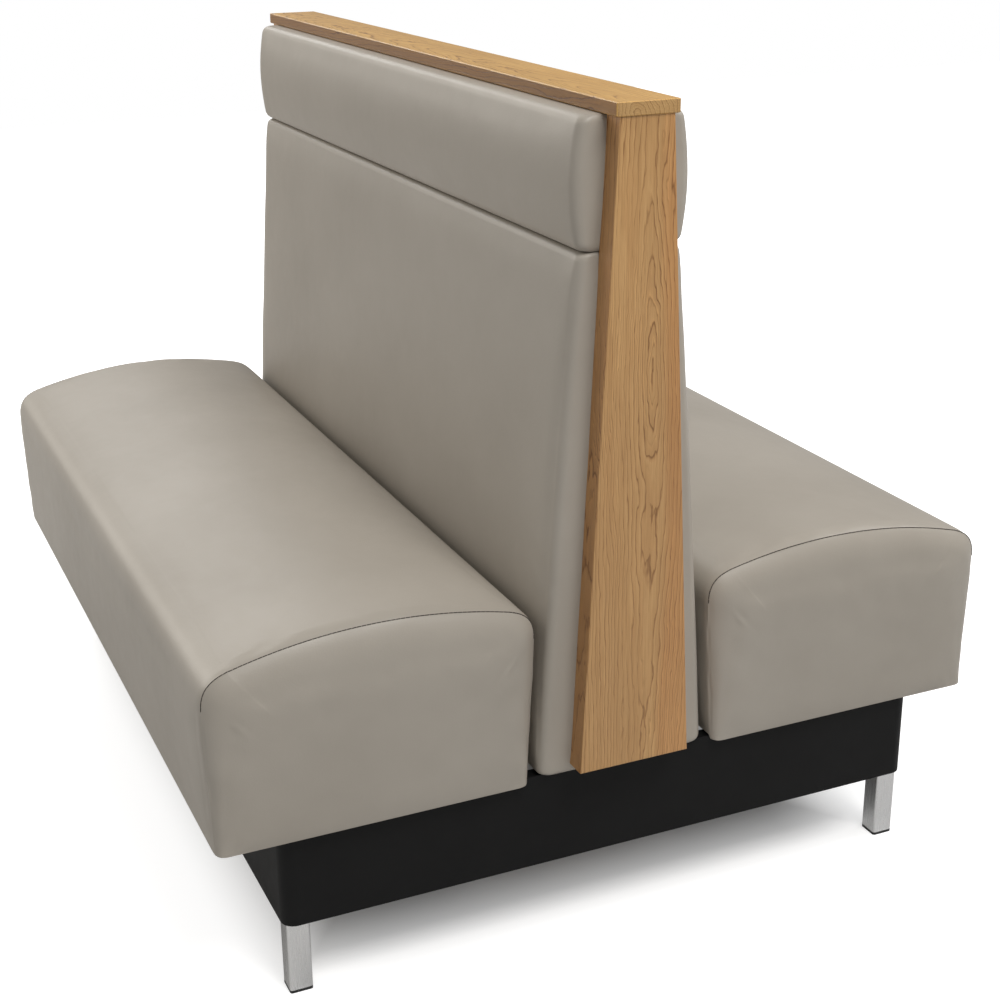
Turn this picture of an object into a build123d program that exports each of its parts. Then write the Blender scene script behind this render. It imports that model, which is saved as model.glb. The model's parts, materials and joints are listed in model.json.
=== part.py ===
from build123d import *
import os

# A restaurant booth: two upholstered benches, back to back on one base, with a shared back.
# Millimetres. The origin is on the floor under the middle of the booth, X runs along the
# benches and Z is up. The front bench faces -Y and the rear bench faces +Y.

os.makedirs("parts", exist_ok=True)

# The booth as a whole
overall_height = 1067.0
upholstered_length = 1219.0
base_end_setback = 10.5  # upholstered end to the base's end
base_side_setback = 80.0  # a bench's foot, at its front, to the base's long side
base_height = 130.0
leg_height = 102.0  # floor to the underside of the base

# Clearances
running_gap = 0.08  # radial, round a turning or sliding stem
tap_gap = 0.1  # what is tapped into a tube or folded round a wire
soft_gap = 0.3  # between a padding and what it only touches
fit_gap = 0.5  # what is laid in loosely
overrun = 5.0  # how far a cut runs past the piece

# Legs and levelling feet
leg_size = 30.0
leg_wall = 2.0
leg_corner_radius = 3.5
leg_end_inset = 9.0  # end of the base to the leg's outer face
leg_side_inset = 5.0  # long side of the base to the leg's outer face
pad_thickness = 4.0
pad_floor = 1.5  # under the stem
stem_diameter = 10.0
stem_spare = 10.0  # stem above the plug when the foot is wound in
plug_height = 26.0
plate_size = 86.0
plate_thickness = 3.0
plate_screw_inset = 12.0

# Base box
base_rail_thickness = 18.0
base_corner_radius = 18.0
base_block_size = 90.0
base_block_height = 80.0
cross_rail_share = 0.33  # how far out a cross rail stands, as a share of half the length
cross_rail_thickness = 18.0
cross_rail_rise = 30.0  # cross rails stay this far above the base's lower edge

# Bench, outer form
seat_reach = 541.0  # middle plane to the front, where it stands out most
seat_rear_reach = 118.0  # middle plane to the rear, at the top
seat_front_height = 220.0  # base to the line where front and crown would meet
seat_rear_height = 228.0
seat_crown_height = 256.0
seat_front_lean = 6.0
seat_rear_lean = 14.0
seat_edge_radius = 40.0
seat_foot_bevel = 8.0
seat_end_radius = 12.5
seat_peak_share = 0.48  # where the crown peaks, from the rear

# Bench, inside
cover_thickness = 1.5
bevel_share = 0.6  # an inner bevel, as a share of the round edge that it follows
seat_frame_height = 140.0
seat_rail_thickness = 28.0
seat_front_padding = 12.5
seat_rear_padding = 8.5
seat_end_padding = 8.0
seat_brace_height = 60.0
dust_cover_thickness = 0.8
felt_thickness = 4.0
spring_count = 5
spring_turns = 12
spring_wire = 4.0
spring_leg_length = 50.0
clip_sheet = 1.0
clip_width = 24.0
clip_length = 12.0

# Back, outer form
back_foot_reach = 118.5  # middle plane to the face, at the base
back_seam_reach = 68.0  # the same, at the seam below the head roll
back_edge_radius = 14.0
headroll_height = 155.0  # the seam to the underside of the cap
headroll_foot_reach = 67.0
headroll_reach = 75.0
headroll_top_reach = 65.0
headroll_bulge_share = 0.4  # where the roll bulges most, from its foot
headroll_top_radius = 18.0
headroll_foot_bevel = 8.0
headroll_end_radius = 12.0
crease_width = 1.0

# Back, inside
back_padding = 26.0
back_panel_thickness = 12.0
back_end_padding = 6.0
back_flap_reach = 12.0  # middle plane to the edge of a cover on the booth's end
end_frame_thickness = 18.0
rib_thickness = 18.0
bottom_board_thickness = 18.0
top_rail_height = 60.0

# Oak
cap_thickness = 16.0
cap_width = 80.0
cap_overhang = 2.0  # past the end panel's face
cap_edge_bevel = 1.0
end_panel_thickness = 31.5
end_panel_top_width = 69.0
end_panel_foot_width = 152.0
end_panel_rise = 14.0  # above the base
end_panel_edge_radius = 1.5

# Brackets and screws
bracket_leg = 26.0
bracket_width = 30.0
bracket_sheet = 2.5
screw_diameter = 5.0
screw_head_width = 8.0
screw_head_height = 3.0
screw_hole_gap = 0.3
screw_sides = 6  # flats by which heads, shanks and their holes are drawn
bracket_screw_length = 16.0
plate_screw_length = 35.0
panel_screw_length = 45.0
cap_screw_length = 72.0
panel_screw_shares = (0.08, 0.47, 0.86)  # up the end panel
cap_screw_shares = (0.2, 0.75)  # out along the cap, each way

ways = {"front": -1, "rear": 1}
ends = {"left": -1, "right": 1}

# Levels and lines that several pieces share
base_top = leg_height + base_height
cap_foot = overall_height - cap_thickness
seam_level = cap_foot - headroll_height
half_length = upholstered_length / 2
base_length = upholstered_length - 2 * base_end_setback
base_depth = 2 * (seat_reach - seat_front_lean - base_side_setback)
cross_rail_place = cross_rail_share * half_length
leg_x = base_length / 2 - leg_end_inset - leg_size / 2
leg_y = base_depth / 2 - leg_side_inset - leg_size / 2
rail_x = base_length / 2 - base_rail_thickness  # inner faces of the base rails
rail_y = base_depth / 2 - base_rail_thickness
frame_foot = base_top + cover_thickness
frame_top = frame_foot + seat_frame_height
frame_half_length = half_length - cover_thickness - seat_end_padding
frame_rear = seat_rear_reach + seat_rear_lean + cover_thickness + seat_rear_padding
frame_front = seat_reach - seat_front_lean - cover_thickness - seat_front_padding
frame_depth = frame_front - frame_rear
frame_middle = (frame_front + frame_rear) / 2
brace_place = cross_rail_place + (cross_rail_thickness + seat_rail_thickness) / 2
spring_level = frame_top + clip_sheet + tap_gap + spring_wire / 2
clip_top = spring_level + spring_wire / 2 + tap_gap + clip_sheet
foam_foot = clip_top + felt_thickness
back_half_length = half_length - cover_thickness - back_end_padding


def keep(sub_part, name):
    """Labels a finished piece and writes it."""
    sub_part.part.label = name
    export_step(sub_part.part, f"parts/{name}.step")


def side_plane(way):
    """A plane across the booth: local X runs outwards from the middle plane, local Y is up."""
    return Plane(origin=(0, 0, 0), x_dir=(0, way, 0), z_dir=(way, 0, 0))


def level_plane(way, level):
    """A level plane: local X runs along the booth, local Y outwards from the middle plane."""
    return Plane(origin=(0, 0, level), x_dir=(1, 0, 0), z_dir=(0, 0, way))


def mirrored(place):
    """The four places, or corners, that one place gives by symmetry."""
    x, y = place
    return [(x * end, y * way) for end in ends.values() for way in ways.values()]


# Legs

leg_places = {
    f"{way}_{end}": (leg_x * ends[end], leg_y * ways[way]) for way in ways for end in ends
}

stem_top = pad_thickness + plug_height + stem_spare

for name, (x, y) in leg_places.items():
    with BuildPart() as foot_pad:
        with BuildSketch(Plane.XY):
            with Locations((x, y)):
                RectangleRounded(leg_size, leg_size, leg_corner_radius)
        extrude(amount=pad_thickness)
        with BuildSketch(Plane.XY.offset(pad_floor)):
            with Locations((x, y)):
                Circle(stem_diameter / 2 + running_gap)
        extrude(amount=pad_thickness, mode=Mode.SUBTRACT)
    keep(foot_pad, f"{name}_foot_pad")

    with BuildPart() as foot_stem:
        with BuildSketch(Plane.XY.offset(pad_floor)):
            with Locations((x, y)):
                Circle(stem_diameter / 2)
        extrude(amount=stem_top - pad_floor)
    keep(foot_stem, f"{name}_foot_stem")

tube_bore = leg_size - 2 * leg_wall
plug_size = tube_bore - 2 * tap_gap

with BuildPart() as leg_tubes:
    with BuildSketch(Plane.XY.offset(pad_thickness)):
        with Locations(mirrored((leg_x, leg_y))):
            RectangleRounded(leg_size, leg_size, leg_corner_radius)
            Rectangle(tube_bore, tube_bore, mode=Mode.SUBTRACT)
    extrude(amount=leg_height - pad_thickness)
keep(leg_tubes, "leg_tubes")

with BuildPart() as leg_plugs:
    with BuildSketch(Plane.XY.offset(pad_thickness)):
        with Locations(mirrored((leg_x, leg_y))):
            Rectangle(plug_size, plug_size)
            Circle(stem_diameter / 2 + running_gap, mode=Mode.SUBTRACT)
    extrude(amount=plug_height)
keep(leg_plugs, "leg_plugs")

# Each plate lies in a corner inside the base rails; three of its corners take a screw,
# because the leg stands under the fourth.
plate_x = rail_x - fit_gap - plate_size / 2
plate_y = rail_y - fit_gap - plate_size / 2
plate_hole = plate_size / 2 - plate_screw_inset
plate_screws = []
for x, y in [(-1, -1), (-1, 1), (1, -1)]:
    plate_screws += mirrored((plate_x + x * plate_hole, plate_y + y * plate_hole))

with BuildPart() as leg_plates:
    with BuildSketch(Plane.XY.offset(leg_height)):
        with Locations(mirrored((plate_x, plate_y))):
            Rectangle(plate_size, plate_size)
        with Locations(plate_screws):
            RegularPolygon(screw_diameter / 2 + screw_hole_gap, screw_sides, mode=Mode.SUBTRACT)
    extrude(amount=plate_thickness)
keep(leg_plates, "leg_plates")


def screws(places):
    """Hexagon-headed screws, each on the plane that carries its head's underside."""
    with BuildPart() as group:
        for seat, length in places:
            with BuildSketch(seat):
                RegularPolygon(screw_head_width / 2, screw_sides)
            extrude(amount=-screw_head_height)
            with BuildSketch(seat):
                RegularPolygon(screw_diameter / 2, screw_sides)
            extrude(amount=length)
    return group


leg_screws = screws(
    [(Plane(origin=(x, y, leg_height)), plate_screw_length) for x, y in plate_screws]
)
keep(leg_screws, "leg_screws")

# Base box

for name, way in ways.items():
    with BuildPart() as base_side_rail:
        with BuildSketch(level_plane(way, leg_height)):
            with Locations((0, rail_y + base_rail_thickness / 2)):
                Rectangle(base_length, base_rail_thickness)
            corners = vertices().group_by(Axis.Y)[-1]
            fillet(corners, min(base_corner_radius, base_rail_thickness - tap_gap))
        extrude(amount=base_height * way)
    keep(base_side_rail, f"base_{name}_rail")

for name, end in ends.items():
    with BuildPart() as base_end_rail:
        with BuildSketch(Plane.XY.offset(leg_height)):
            with Locations(((rail_x + base_rail_thickness / 2) * end, 0)):
                Rectangle(base_rail_thickness, 2 * rail_y)
        extrude(amount=base_height)
    keep(base_end_rail, f"base_{name}_rail")

with BuildPart() as base_cross_rails:
    with BuildSketch(Plane.XY.offset(leg_height + cross_rail_rise)):
        with Locations((-cross_rail_place, 0), (cross_rail_place, 0)):
            Rectangle(cross_rail_thickness, 2 * rail_y)
    extrude(amount=base_height - cross_rail_rise)
keep(base_cross_rails, "base_cross_rails")

with BuildPart() as base_corner_blocks:
    with BuildSketch(Plane.XY.offset(leg_height + plate_thickness)):
        block_x = rail_x - base_block_size / 2
        block_y = rail_y - base_block_size / 2
        with Locations(mirrored((block_x, block_y))):
            Rectangle(base_block_size, base_block_size)
    extrude(amount=base_block_height)
keep(base_corner_blocks, "base_corner_blocks")

# Brackets fix the benches and the back to the cross rails. Each has one leg down the outer
# side of a cross rail and the other outwards at the level of the base's top.

bracket_rows = (-frame_middle, 0, frame_middle)
bracket_face = cross_rail_place + cross_rail_thickness / 2
bracket_places = [(end, row) for end in ends.values() for row in bracket_rows]
bracket_screw_reach = (bracket_sheet + bracket_leg) / 2

with BuildPart() as mounting_brackets:
    for end, row in bracket_places:
        with BuildSketch(Plane(origin=(bracket_face * end, row, base_top), z_dir=(0, -end, 0),
                               x_dir=(end, 0, 0))):
            with Locations((bracket_leg / 2, -bracket_sheet / 2)):
                Rectangle(bracket_leg, bracket_sheet)
            with Locations((bracket_sheet / 2, -bracket_leg / 2)):
                Rectangle(bracket_sheet, bracket_leg)
        extrude(amount=bracket_width / 2, both=True)

bracket_screw_seats = []
for end, row in bracket_places:
    up_seat = (
        (bracket_face + bracket_screw_reach) * end,
        row,
        base_top - bracket_sheet,
    )
    side_seat = (
        (bracket_face + bracket_sheet) * end,
        row,
        base_top - bracket_screw_reach,
    )
    bracket_screw_seats += [
        (Plane(origin=up_seat), bracket_screw_length),
        (Plane(origin=side_seat, z_dir=(-end, 0, 0)), bracket_screw_length),
    ]

with mounting_brackets:
    for seat, length in bracket_screw_seats:
        with BuildSketch(seat):
            RegularPolygon(screw_diameter / 2 + screw_hole_gap, screw_sides)
        extrude(amount=bracket_sheet, mode=Mode.SUBTRACT)
keep(mounting_brackets, "mounting_brackets")

bracket_screws = screws(bracket_screw_seats)
keep(bracket_screws, "bracket_screws")

# Benches


def seat_outline(inset):
    """The bench's end outline, drawn in by inset all round."""
    with BuildSketch() as outline:
        with BuildLine():
            front_foot = (seat_reach - seat_front_lean, base_top)
            front_top = (seat_reach, base_top + seat_front_height)
            peak_reach = seat_rear_reach + seat_peak_share * (seat_reach - seat_rear_reach)
            peak = (peak_reach, base_top + seat_crown_height)
            rear_top = (seat_rear_reach, base_top + seat_rear_height)
            rear_foot = (seat_rear_reach + seat_rear_lean, base_top)
            Line(front_foot, front_top)
            ThreePointArc(front_top, peak, rear_top)
            Line(rear_top, rear_foot)
            Line(rear_foot, front_foot)
        make_face()
        chamfer(vertices().group_by(Axis.Y)[0], seat_foot_bevel)
        fillet(vertices().group_by(Axis.Y)[-2:], seat_edge_radius)
        if inset > 0:
            offset(amount=-inset)
    return outline.sketch


def seat_block(way, inset):
    """The bench's whole form, drawn in by inset. Only the outermost form has round ends."""
    with BuildPart() as block:
        with BuildSketch(side_plane(way)):
            add(seat_outline(inset))
        extrude(amount=half_length - inset, both=True)
        rims = faces().sort_by(Axis.X)[0].edges() + faces().sort_by(Axis.X)[-1].edges()
        if inset > 0:
            chamfer(rims, bevel_share * (seat_end_radius - inset))
        else:
            fillet(rims, seat_end_radius)
    return block.part


def frame_box(way, foot, top, gap):
    """The room that the bench's frame takes, and gap all round, from foot to top."""
    with BuildPart() as room:
        with BuildSketch(level_plane(way, foot)):
            with Locations((0, frame_middle)):
                Rectangle(2 * frame_half_length + 2 * gap, frame_depth + 2 * gap)
        extrude(amount=(top - foot) * way)
    return room.part


spring_spacing = 2 * frame_half_length / spring_count
spring_places = [
    (number - (spring_count - 1) / 2) * spring_spacing for number in range(spring_count)
]
spring_rear = frame_rear + seat_rail_thickness / 2
spring_front = frame_front - seat_rail_thickness / 2
spring_pitch = (spring_front - spring_rear) / spring_turns


def spring_points(place, way):
    """The corners of one zigzag wire, from the rear rail to the front rail."""
    points = []
    for turn in range(spring_turns + 1):
        side = 1 if turn % 2 == 0 else -1
        reach = (spring_rear + turn * spring_pitch) * way
        points.append((place - side * spring_leg_length / 2, reach, spring_level))
        points.append((place + side * spring_leg_length / 2, reach, spring_level))
    return points


for name, way in ways.items():
    outer = seat_block(way, 0)
    lining = seat_block(way, cover_thickness)
    filling = seat_block(way, cover_thickness + soft_gap)
    inner_room = frame_box(way, base_top - overrun, foam_foot + overrun, soft_gap)

    with BuildPart() as seat_cover:
        add(outer)
        add(lining, mode=Mode.SUBTRACT)
        with BuildSketch(level_plane(way, base_top)):
            with Locations((0, frame_middle)):
                tuck = seat_rail_thickness
                Rectangle(2 * frame_half_length - tuck, frame_depth - tuck)
        extrude(amount=cover_thickness * way, mode=Mode.SUBTRACT)
    keep(seat_cover, f"{name}_seat_cover")

    with BuildPart() as seat_foam:
        add(filling)
        split(bisect_by=Plane.XY.offset(foam_foot), keep=Keep.TOP)
    keep(seat_foam, f"{name}_seat_foam")

    # Four strips round the frame; a thin slot parts the end strips from the long ones.
    with BuildPart() as seat_padding:
        add(filling)
        split(bisect_by=Plane.XY.offset(foam_foot), keep=Keep.BOTTOM)
        add(inner_room, mode=Mode.SUBTRACT)
        with BuildSketch(level_plane(way, base_top - overrun)):
            slot = frame_half_length + soft_gap / 2
            with Locations((-slot, frame_middle), (slot, frame_middle)):
                Rectangle(soft_gap, seat_reach)
        extrude(amount=(foam_foot - base_top + 2 * overrun) * way, mode=Mode.SUBTRACT)
    keep(seat_padding, f"{name}_seat_padding")

    for rail_name, reach in {
        "front": frame_front - seat_rail_thickness / 2,
        "back": frame_rear + seat_rail_thickness / 2,
    }.items():
        with BuildPart() as seat_rail:
            with BuildSketch(level_plane(way, frame_foot)):
                with Locations((0, reach)):
                    Rectangle(2 * frame_half_length, seat_rail_thickness)
            extrude(amount=seat_frame_height * way)
        keep(seat_rail, f"{name}_seat_{rail_name}_rail")

    with BuildPart() as seat_end_rails:
        with BuildSketch(level_plane(way, frame_foot)):
            end_rail = frame_half_length - seat_rail_thickness / 2
            with Locations((-end_rail, frame_middle), (end_rail, frame_middle)):
                Rectangle(seat_rail_thickness, frame_depth - 2 * seat_rail_thickness)
        extrude(amount=seat_frame_height * way)
    keep(seat_end_rails, f"{name}_seat_end_rails")

    with BuildPart() as seat_braces:
        with BuildSketch(level_plane(way, frame_foot)):
            with Locations((-brace_place, frame_middle), (brace_place, frame_middle)):
                Rectangle(seat_rail_thickness, frame_depth - 2 * seat_rail_thickness)
        extrude(amount=seat_brace_height * way)
    keep(seat_braces, f"{name}_seat_braces")

    with BuildPart() as seat_springs:
        for place in spring_places:
            with BuildLine() as wire:
                Polyline(*spring_points(place, way))
            with BuildSketch(Plane(origin=wire.line @ 0, x_dir=(0, way, 0), z_dir=(1, 0, 0))):
                Rectangle(spring_wire, spring_wire)
            sweep(path=wire.line, transition=Transition.RIGHT)
    keep(seat_springs, f"{name}_seat_springs")

    with BuildPart() as dust_cover:
        with BuildSketch(level_plane(way, frame_foot - dust_cover_thickness)):
            with Locations((0, frame_middle)):
                tuck = seat_rail_thickness + 2 * fit_gap
                Rectangle(2 * frame_half_length - tuck, frame_depth - tuck)
        extrude(amount=dust_cover_thickness * way)
    keep(dust_cover, f"{name}_seat_dust_cover")

with BuildPart() as seat_felts:
    for way in ways.values():
        add(frame_box(way, clip_top, foam_foot, 0))
keep(seat_felts, "seat_felts")

# Each clip is a strip folded over one leg of the wire, closed towards the rail's outer edge.
with BuildPart() as spring_clips:
    for way in ways.values():
        for reach, outwards in ((spring_rear, -1), (spring_front, 1)):
            with BuildSketch(*[side_plane(way).offset(place) for place in spring_places]):
                with Locations((reach + outwards * clip_sheet / 2, spring_level)):
                    Rectangle(clip_length, clip_top - frame_top)
                with Locations((reach - outwards * clip_sheet / 2, spring_level)):
                    Rectangle(clip_length, spring_wire + 2 * tap_gap, mode=Mode.SUBTRACT)
            extrude(amount=clip_width / 2, both=True)
keep(spring_clips, "spring_clips")

# Back


def back_reach(level):
    """Middle plane to the outer face of the lower back, at a level."""
    fall = (back_foot_reach - back_seam_reach) / (seam_level - base_top)
    return back_foot_reach - fall * (level - base_top)


def panel_reach(level):
    """Middle plane to the outer face of a plywood panel, at a level."""
    return back_reach(level) - back_padding


def inner_reach(level):
    """Middle plane to the inner face of a plywood panel, at a level."""
    return panel_reach(level) - back_panel_thickness


def frame_slice(foot, top):
    """The section of what stands between the two plywood panels, from foot to top."""
    with BuildSketch() as section:
        Polygon(
            (-inner_reach(foot), foot),
            (inner_reach(foot), foot),
            (inner_reach(top), top),
            (-inner_reach(top), top),
            align=None,
        )
    return section.sketch


def back_room(way):
    """The room that one plywood panel and the frame behind it take."""
    foot = base_top - overrun
    top = overall_height + overrun
    with BuildPart() as room:
        with BuildSketch(side_plane(way)):
            Polygon(
                (0, foot), (panel_reach(foot), foot), (panel_reach(top), top), (0, top), align=None
            )
        extrude(amount=back_half_length, both=True)
    return room.part


def back_block(way, inset, root):
    """One lower back as a whole, drawn in by inset, from root outwards."""
    foot = base_top + inset
    top = seam_level - inset
    with BuildPart() as block:
        with BuildSketch(side_plane(way)):
            Polygon(
                (root, foot),
                (back_reach(foot) - inset, foot),
                (back_reach(top) - inset, top),
                (root, top),
                align=None,
            )
        extrude(amount=half_length - inset, both=True)
        rims = faces().sort_by(Axis.Y)[-1 if way > 0 else 0].edges()
        if inset > 0:
            chamfer(rims, bevel_share * (back_edge_radius - inset))
        else:
            fillet(rims, back_edge_radius)
    return block.part


def headroll_block(way, inset, root):
    """One head roll as a whole, drawn in by inset, from root outwards."""
    foot = seam_level + crease_width
    top = cap_foot - soft_gap
    bulge = (headroll_reach - inset, foot + headroll_bulge_share * (top - foot))
    with BuildPart() as block:
        with BuildSketch(side_plane(way)):
            with BuildLine():
                foot_corner = (headroll_foot_reach - inset, foot + inset)
                top_corner = (headroll_top_reach - inset, top - inset)
                Line((root, foot + inset), foot_corner)
                ThreePointArc(foot_corner, bulge, top_corner)
                Line(top_corner, (root, top - inset))
                Line((root, top - inset), (root, foot + inset))
            make_face()
            chamfer(vertices().sort_by_distance(foot_corner)[0], headroll_foot_bevel - inset / 2)
            fillet(vertices().sort_by_distance(top_corner)[0], headroll_top_radius - inset)
        extrude(amount=half_length - inset, both=True)
        rims = faces().sort_by(Axis.X)[0].edges() + faces().sort_by(Axis.X)[-1].edges()
        hidden = rims.filter_by_position(Axis.Y, root * way - tap_gap, root * way + tap_gap)
        rims = [rim for rim in rims if rim not in hidden]
        if inset > 0:
            chamfer(rims, bevel_share * (headroll_end_radius - inset))
        else:
            fillet(rims, headroll_end_radius)
    return block.part


def padded_pieces(block, way, name):
    """The cover and the foam of one padded face of the back."""
    room = back_room(way)
    outer = block(way, 0, back_flap_reach)
    lining = block(way, cover_thickness, back_flap_reach - overrun)
    filling = block(way, cover_thickness + soft_gap, back_flap_reach)
    with BuildPart() as cover:
        add(outer)
        add(lining, mode=Mode.SUBTRACT)
        add(room, mode=Mode.SUBTRACT)
    keep(cover, f"{name}_cover")
    with BuildPart() as foam:
        add(filling)
        add(room, mode=Mode.SUBTRACT)
        with BuildSketch(Plane.XY.offset(base_top - overrun)):
            slot = back_half_length + soft_gap / 2
            with Locations((-slot, 0), (slot, 0)):
                Rectangle(soft_gap, 2 * seat_reach)
        extrude(amount=overall_height, mode=Mode.SUBTRACT)
    keep(foam, f"{name}_foam")


for name, way in ways.items():
    padded_pieces(back_block, way, f"{name}_back")
    padded_pieces(headroll_block, way, f"{name}_headroll")

    with BuildPart() as back_panel:
        with BuildSketch(side_plane(way)):
            Polygon(
                (inner_reach(base_top), base_top),
                (panel_reach(base_top), base_top),
                (panel_reach(cap_foot), cap_foot),
                (inner_reach(cap_foot), cap_foot),
                align=None,
            )
        extrude(amount=back_half_length, both=True)
    keep(back_panel, f"{name}_back_panel")

frame_end = back_half_length - end_frame_thickness

with BuildPart() as back_end_frames:
    middle = frame_end + end_frame_thickness / 2
    with BuildSketch(Plane.YZ.offset(-middle), Plane.YZ.offset(middle)):
        add(frame_slice(base_top, cap_foot))
    extrude(amount=end_frame_thickness / 2, both=True)
keep(back_end_frames, "back_end_frames")

for name, end in ends.items():
    with BuildPart() as end_panel:
        panel_foot = base_top + end_panel_rise
        with BuildSketch(Plane.YZ.offset(half_length * end)):
            Polygon(
                (-end_panel_foot_width / 2, panel_foot),
                (end_panel_foot_width / 2, panel_foot),
                (end_panel_top_width / 2, cap_foot),
                (-end_panel_top_width / 2, cap_foot),
                align=None,
            )
        extrude(amount=end_panel_thickness * end)
        rims = faces().sort_by(Axis.X)[-1 if end > 0 else 0].edges()
        fillet(rims.sort_by(Axis.Z)[:-1], end_panel_edge_radius)
    keep(end_panel, f"{name}_end_panel")

with BuildPart() as back_bottom_board:
    with BuildSketch(Plane.YZ):
        add(frame_slice(base_top, base_top + bottom_board_thickness))
    extrude(amount=frame_end, both=True)
keep(back_bottom_board, "back_bottom_board")

with BuildPart() as back_top_rail:
    with BuildSketch(Plane.YZ):
        add(frame_slice(cap_foot - top_rail_height, cap_foot))
    extrude(amount=frame_end, both=True)
keep(back_top_rail, "back_top_rail")

with BuildPart() as back_ribs:
    with BuildSketch(Plane.YZ.offset(-cross_rail_place), Plane.YZ.offset(cross_rail_place)):
        add(frame_slice(base_top + bottom_board_thickness, cap_foot - top_rail_height))
    extrude(amount=rib_thickness / 2, both=True)
keep(back_ribs, "back_ribs")

# A batten on each end frame fills the room between the cover's two flaps and carries the oak.
with BuildPart() as end_battens:
    batten_foot = base_top + end_panel_rise
    batten_width = 2 * back_flap_reach - 2 * fit_gap
    batten_depth = half_length - back_half_length
    with BuildSketch(Plane.XY.offset(batten_foot)):
        batten = back_half_length + batten_depth / 2
        with Locations((-batten, 0), (batten, 0)):
            Rectangle(batten_depth, batten_width)
    extrude(amount=cap_foot - batten_foot)
keep(end_battens, "end_battens")

# Oak cap

with BuildPart() as top_cap:
    with BuildSketch(Plane.XY.offset(cap_foot)):
        Rectangle(2 * (half_length + end_panel_thickness + cap_overhang), cap_width)
    extrude(amount=cap_thickness)
    chamfer(edges(), cap_edge_bevel)
keep(top_cap, "top_cap")

panel_height = cap_foot - base_top - end_panel_rise
oak_screw_seats = []
for end in ends.values():
    for share in panel_screw_shares:
        level = base_top + end_panel_rise + share * panel_height
        seat = Plane(origin=(frame_end * end, 0, level), z_dir=(end, 0, 0))
        oak_screw_seats.append((seat, panel_screw_length))
    for share in cap_screw_shares:
        seat = Plane(origin=(end * share * frame_end, 0, cap_foot - top_rail_height))
        oak_screw_seats.append((seat, cap_screw_length))

oak_screws = screws(oak_screw_seats)
keep(oak_screws, "oak_screws")
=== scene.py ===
import json
import math

import bpy
import bmesh
from mathutils import Matrix, Vector, noise


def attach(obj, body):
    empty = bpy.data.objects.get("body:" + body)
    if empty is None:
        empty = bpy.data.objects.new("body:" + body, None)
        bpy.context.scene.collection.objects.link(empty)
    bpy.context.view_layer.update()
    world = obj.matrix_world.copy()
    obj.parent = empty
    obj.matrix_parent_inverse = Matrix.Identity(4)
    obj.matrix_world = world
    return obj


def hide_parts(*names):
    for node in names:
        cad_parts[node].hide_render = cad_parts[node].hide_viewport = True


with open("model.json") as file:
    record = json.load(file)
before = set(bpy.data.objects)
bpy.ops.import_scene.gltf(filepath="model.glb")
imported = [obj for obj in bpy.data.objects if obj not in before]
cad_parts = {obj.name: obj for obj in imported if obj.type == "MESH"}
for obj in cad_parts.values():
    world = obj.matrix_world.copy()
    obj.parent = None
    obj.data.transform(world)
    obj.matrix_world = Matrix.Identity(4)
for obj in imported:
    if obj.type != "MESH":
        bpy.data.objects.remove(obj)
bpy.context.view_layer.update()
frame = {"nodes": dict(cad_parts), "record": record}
frameNodes = frame["nodes"]
print("frame loaded:", len(frameNodes), "nodes")


# Node tree helpers

def startMaterial(name):
    material = bpy.data.materials.new(name)
    material.use_nodes = True
    tree = material.node_tree
    return material, tree, tree.nodes["Principled BSDF"]


def addNode(tree, kind, **settings):
    node = tree.nodes.new(kind)
    for key, value in settings.items():
        setattr(node, key, value)
    return node


def setInputs(node, **values):
    for key, value in values.items():
        node.inputs[key.replace("_", " ")].default_value = value


def mathNode(tree, operation, first, second=None):
    node = addNode(tree, "ShaderNodeMath", operation=operation)
    for socket, value in zip(node.inputs, (first, second)):
        if value is None:
            continue
        if isinstance(value, (int, float)):
            socket.default_value = value
        else:
            tree.links.new(value, socket)
    return node.outputs[0]


def rampNode(tree, factor, stops):
    node = addNode(tree, "ShaderNodeValToRGB")
    ramp = node.color_ramp
    while len(ramp.elements) < len(stops):
        ramp.elements.new(0.5)
    for element, (place, colour) in zip(ramp.elements, stops):
        element.position = place
        element.color = (*colour, 1)
    tree.links.new(factor, node.inputs["Fac"])
    return node.outputs["Color"]


def noiseNode(tree, vector, scale, detail=3.0, roughness=0.55):
    node = addNode(tree, "ShaderNodeTexNoise")
    setInputs(node, Scale=scale, Detail=detail, Roughness=roughness)
    tree.links.new(vector, node.inputs["Vector"])
    return node.outputs["Fac"]


def stretched(tree, vector, scale):
    node = addNode(tree, "ShaderNodeMapping")
    node.inputs["Scale"].default_value = scale
    tree.links.new(vector, node.inputs["Vector"])
    return node.outputs["Vector"]


def mixColours(tree, factor, first, second, blend="MIX"):
    node = addNode(tree, "ShaderNodeMix", data_type="RGBA", blend_type=blend)
    for index, value in ((0, factor), (6, first), (7, second)):
        if isinstance(value, (int, float)):
            node.inputs[index].default_value = value
        elif isinstance(value, tuple):
            node.inputs[index].default_value = (*value, 1)
        else:
            tree.links.new(value, node.inputs[index])
    return node.outputs[2]


# The colour times a tone, as far as the factor goes.
def toned(tree, colour, tone, factor=1.0):
    return mixColours(tree, factor, colour, tone, "MULTIPLY")


def grey(value):
    return (value, value, value)


def addBump(tree, shader, height, strength, distance, below=None):
    node = addNode(tree, "ShaderNodeBump")
    setInputs(node, Strength=strength, Distance=distance)
    tree.links.new(height, node.inputs["Height"])
    if below is not None:
        tree.links.new(below, node.inputs["Normal"])
    tree.links.new(node.outputs["Normal"], shader.inputs["Normal"])
    return node.outputs["Normal"]


def objectPlace(tree):
    return addNode(tree, "ShaderNodeTexCoord").outputs["Object"]


def setRoughness(tree, shader, factor, low, high):
    node = addNode(tree, "ShaderNodeMapRange")
    setInputs(node, To_Min=low, To_Max=high)
    tree.links.new(factor, node.inputs["Value"])
    tree.links.new(node.outputs["Result"], shader.inputs["Roughness"])


# Materials

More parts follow.
